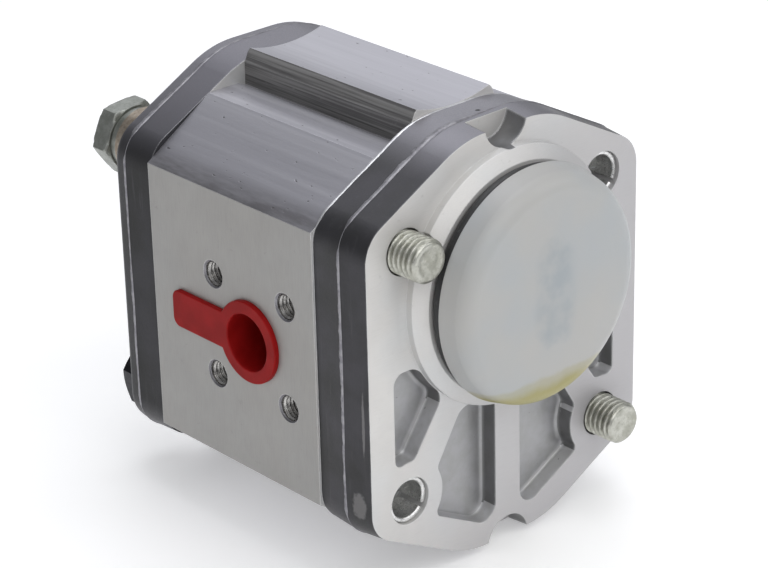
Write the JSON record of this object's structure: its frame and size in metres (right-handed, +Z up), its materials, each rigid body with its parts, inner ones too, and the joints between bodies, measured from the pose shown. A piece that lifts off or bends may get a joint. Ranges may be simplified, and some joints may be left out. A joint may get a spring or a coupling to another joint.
{
  "type": "hydraulic gear pump",
  "caption": "External gear pump with a round pilot, two through bolts, a tongue drive under a push-on cap, and plugged flange ports with threaded holes on both sides of an extruded body.",
  "frame": {"origin": "centre of the pilot, on the drive shaft's axis, in the plane of the front mounting face", "axes": "-Y out of the front along the drive shaft, +Y to the rear cover, +X towards the suction port (right seen from the front), +Z up, with the driven shaft below the drive shaft"},
  "size_m": [0.0866, 0.1137, 0.1049],
  "materials": {
    "cover_casting": "as-cast sides, machined faces",
    "body_extrusion": "machined extrusion",
    "bearing_alloy": "machined",
    "bush_metal": "sintered bronze with a grey running layer",
    "gear_steel": "ground",
    "bright_steel": "spring steel",
    "zinc_steel": "bright zinc plate",
    "yellow_zinc_steel": "dull yellow zinc plate",
    "black_steel": "black oxide, oiled",
    "seal_rubber": "satin",
    "backup_plastic": "unfilled",
    "cap_plastic": "translucent, soft gloss",
    "plug_plastic": "satin moulding"
  },
  "bodies": {
    "housing": {"front_cover": "cover_casting", "pump_body": "body_extrusion", "rear_cover": "cover_casting", "front_bearing_block": "bearing_alloy", "rear_bearing_block": "bearing_alloy", "drive_front_bush": "bush_metal", "driven_front_bush": "bush_metal", "drive_rear_bush": "bush_metal", "driven_rear_bush": "bush_metal", "front_axial_seal": "seal_rubber", "rear_axial_seal": "seal_rubber", "front_backup_strips": "backup_plastic", "rear_backup_strips": "backup_plastic", "front_body_seal": "seal_rubber", "rear_body_seal": "seal_rubber", "front_dowels": "bright_steel", "rear_dowels": "bright_steel", "shaft_seal": "seal_rubber", "seal_spring": "bright_steel", "seal_retaining_ring": "bright_steel", "pilot_seal_ring": "seal_rubber", "mounting_bolts": "zinc_steel", "mounting_spacers": "yellow_zinc_steel", "lock_washers": "zinc_steel", "assembly_screws": "black_steel", "locating_sleeves": "bright_steel"},
    "drive_shaft": {"drive_gear_shaft": "gear_steel", "drive_coupling": "gear_steel"},
    "driven_shaft": {"driven_gear_shaft": "gear_steel"},
    "cap": {"pilot_cap": "cap_plastic"},
    "pressure_plug": {"pressure_port_plug": "plug_plastic"},
    "suction_plug": {"suction_port_plug": "plug_plastic"}
  },
  "joints": [
    {"name": "drive_shaft_spin", "type": "hinge", "parent": "housing", "child": "drive_shaft", "pos_m": [0, 0, 0], "axis": [0, 1, 0], "continuous": true},
    {"name": "driven_shaft_spin", "type": "hinge", "parent": "housing", "child": "driven_shaft", "pos_m": [0, 0, -0.031], "axis": [0, 1, 0], "continuous": true},
    {"name": "cap_pull", "type": "slide", "parent": "housing", "child": "cap", "axis": [0, -1, 0], "range_m": [0, 0.03]},
    {"name": "pressure_plug_pull", "type": "slide", "parent": "housing", "child": "pressure_plug", "axis": [-1, 0, 0], "range_m": [0, 0.03]},
    {"name": "suction_plug_pull", "type": "slide", "parent": "housing", "child": "suction_plug", "axis": [1, 0, 0], "range_m": [0, 0.03]}
  ],
  "couplings": [
    {"joint": "driven_shaft_spin", "follows": "drive_shaft_spin", "ratio": -1}
  ]
}
